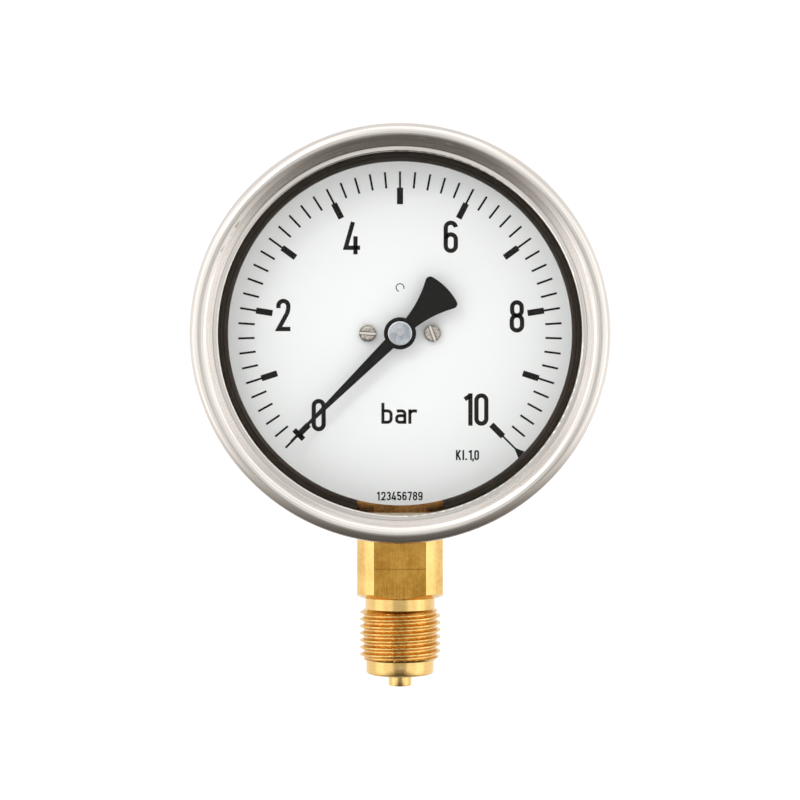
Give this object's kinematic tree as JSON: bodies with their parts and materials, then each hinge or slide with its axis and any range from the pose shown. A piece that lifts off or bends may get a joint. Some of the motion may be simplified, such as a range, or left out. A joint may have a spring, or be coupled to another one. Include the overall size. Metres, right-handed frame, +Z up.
{
  "type": "pressure gauge",
  "caption": "Round dial pressure gauge with a bayonet ring, Bourdon tube movement and a bottom threaded stem with a square for the spanner.",
  "frame": {"origin": "on the stem's axis, in the plane of the seal face at the end of the pilot below the thread", "axes": "+Z up along the stem, the dial faces -Y, +X to the reader's right"},
  "size_m": [0.1046, 0.0485, 0.1433],
  "materials": {
    "brushed_stainless": "drawn and brushed stainless steel, satin along the circle",
    "brass": "turned and milled brass, bare",
    "movement_brass": "blanked brass plate, fine grained",
    "bronze_tube": "drawn bronze tube, soft soldered",
    "bright_steel": "bright turned steel",
    "nickel": "nickel plated steel, slotted",
    "spring_bronze": "rolled bronze strip",
    "dial_white": "white stoved paint on aluminium, satin",
    "pointer_black": "black paint on aluminium, satin",
    "bush_aluminium": "turned aluminium, fine machined",
    "glass": "flat instrument glass",
    "black_rubber": "moulded rubber, matt",
    "fibre_seal": "pressed fibre sheet, beige"
  },
  "bodies": {
    "housing": {"case": "brushed_stainless", "case_screws": "bright_steel", "case_spacers": "bright_steel", "blow_out_plug": "black_rubber", "window": "glass", "window_gasket": "black_rubber", "dial": "dial_white", "dial_screws": "nickel", "dial_posts": "movement_brass", "bourdon_tube": "bronze_tube", "back_plate": "movement_brass", "front_plate": "movement_brass", "pillars": "movement_brass", "plate_screws": "bright_steel", "movement_screws": "bright_steel", "hairspring": "spring_bronze", "hairspring_stud": "movement_brass", "socket": "brass", "restrictor_screw": "brass", "stem_seal": "fibre_seal"},
    "ring": {"bayonet_ring": "brushed_stainless"},
    "sector": {"sector_gear": "movement_brass", "sector_arbor": "bright_steel", "tail_pin": "bright_steel"},
    "pointer_group": {"pointer": "pointer_black", "pointer_bush": "bush_aluminium", "pinion_arbor": "bright_steel", "hairspring_collet": "movement_brass"},
    "tube_tip": {"tube_end_piece": "brass", "tip_pin": "bright_steel"},
    "link": {"link": "movement_brass"}
  },
  "joints": [
    {"name": "ring_turn", "type": "hinge", "parent": "housing", "child": "ring", "pos_m": [0, 0, 0.088], "axis": [0, 1, 0], "range_deg": [-30, 0]},
    {"name": "sector_turn", "type": "hinge", "parent": "housing", "child": "sector", "pos_m": [0.01273, 0, 0.06762], "axis": [0, 1, 0], "range_deg": [-30, 0], "stiffness_Nm_per_rad": 0.02, "springref_deg": 2.86},
    {"name": "pointer_turn", "type": "hinge", "parent": "housing", "child": "pointer_group", "pos_m": [0, 0, 0.088], "axis": [0, 1, 0], "range_deg": [0, 270], "deforming": ["hairspring"]},
    {"name": "tube_flex", "type": "hinge", "parent": "housing", "child": "tube_tip", "pos_m": [-0.005, 0, 0.0957], "axis": [0, 1, 0], "range_deg": [-5.4, 0], "deforming": ["bourdon_tube"]},
    {"name": "link_turn", "type": "hinge", "parent": "tube_tip", "child": "link", "pos_m": [0.02602, 0, 0.07895], "axis": [0, 1, 0], "range_deg": [0, 11.2]}
  ],
  "couplings": [
    {"joint": "pointer_turn", "follows": "sector_turn", "ratio": -9},
    {"joint": "tube_flex", "follows": "sector_turn", "ratio": 0.18},
    {"joint": "link_turn", "follows": "sector_turn", "ratio": -0.3723}
  ]
}
